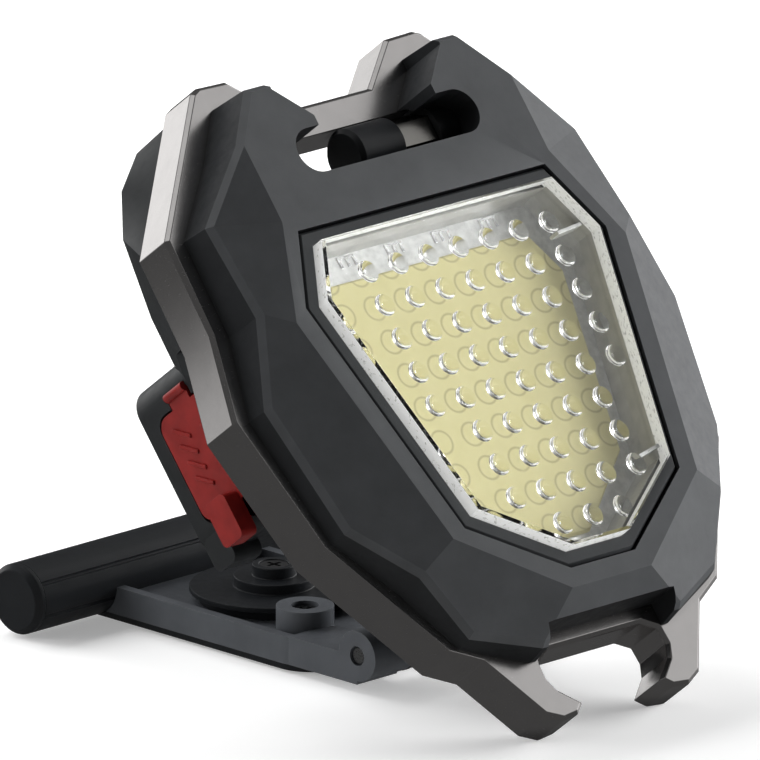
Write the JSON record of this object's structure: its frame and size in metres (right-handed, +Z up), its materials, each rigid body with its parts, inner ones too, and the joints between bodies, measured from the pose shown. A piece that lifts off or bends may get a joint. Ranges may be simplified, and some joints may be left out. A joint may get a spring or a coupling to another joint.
{
  "type": "work light",
  "caption": "Pocket work light: faceted head with LED panel in a metal tool frame, tilting on a fold-out magnetic stand with a foot bar, side charging cover, button and sliding driver bit.",
  "frame": {"origin": "centre of the stand's magnet, on its underside", "axes": "+Z up from the resting face, -Y the way the light looks, +X across, parallel to the hinge"},
  "size_m": [0.0564, 0.0625, 0.0553],
  "materials": {
    "dark_bezel": "moulded, fine satin texture",
    "case": "moulded, fine grain",
    "frame_metal": "die-cast zinc alloy, satin nickel plating",
    "clear_lens": "clear moulded polycarbonate",
    "trim": "satin",
    "seal": "soft",
    "reflector": "silvered white",
    "board_metal": "white solder mask on aluminium",
    "phosphor": "phosphor in clear silicone",
    "aluminium": "milled",
    "wire": "insulated lead",
    "foam": "closed-cell foam",
    "cell": "foil pouch",
    "circuit": "solder mask",
    "chip": "moulded",
    "socket_metal": "nickel plated",
    "red_rubber": "silicone, soft sheen",
    "button_rubber": "soft sheen",
    "screw_steel": "black oxide",
    "bit_steel": "polished",
    "stand": "moulded glass-filled nylon",
    "magnet_metal": "nickel plated",
    "steel": "ground"
  },
  "bodies": {
    "stand": {"stand_plate": "stand", "base_cover": "stand", "magnet": "magnet_metal", "magnet_keeper": "steel", "magnet_retainer": "stand", "magnet_screw": "screw_steel", "stand_screws": "screw_steel", "foot_bar": "stand", "bar_end_caps": "stand", "hinge_pin": "steel", "hinge_washers": "seal"},
    "head": {"metal_frame": "frame_metal", "front_bezel": "dark_bezel", "lens": "clear_lens", "lens_trim_ring": "trim", "lens_gasket": "seal", "reflector_frame": "reflector", "cob_board": "board_metal", "phosphor_panel": "phosphor", "heat_spreader": "aluminium", "led_wires": "wire", "battery_foam": "foam", "battery_cell": "cell", "battery_wires": "wire", "control_board": "circuit", "board_components": "chip", "usb_socket_shell": "socket_metal", "usb_socket_tongue": "chip", "power_switch": "socket_metal", "rear_case": "case", "case_screws": "screw_steel", "bit_sleeve": "case"},
    "port_cover": {"port_cover": "red_rubber"},
    "power_button": {"power_button": "button_rubber"},
    "driver_bit": {"driver_bit": "bit_steel", "bit_collar": "trim"}
  },
  "joints": [
    {"name": "head_tilt", "type": "hinge", "parent": "stand", "child": "head", "pos_m": [0, -0.02025, 0.0033], "axis": [1, 0, 0], "range_deg": [-51.45, 128.55]},
    {"name": "port_cover_swing", "type": "hinge", "parent": "head", "child": "port_cover", "pos_m": [-0.02415, -0.01196, 0.02943], "axis": [0, 0.7821, -0.6232], "range_deg": [0, 120]},
    {"name": "button_press", "type": "slide", "parent": "head", "child": "power_button", "axis": [-1, 0, 0], "range_m": [0, 0.0005]},
    {"name": "bit_slide", "type": "slide", "parent": "head", "child": "driver_bit", "axis": [-1, 0, 0], "range_m": [0, 0.0065]}
  ]
}
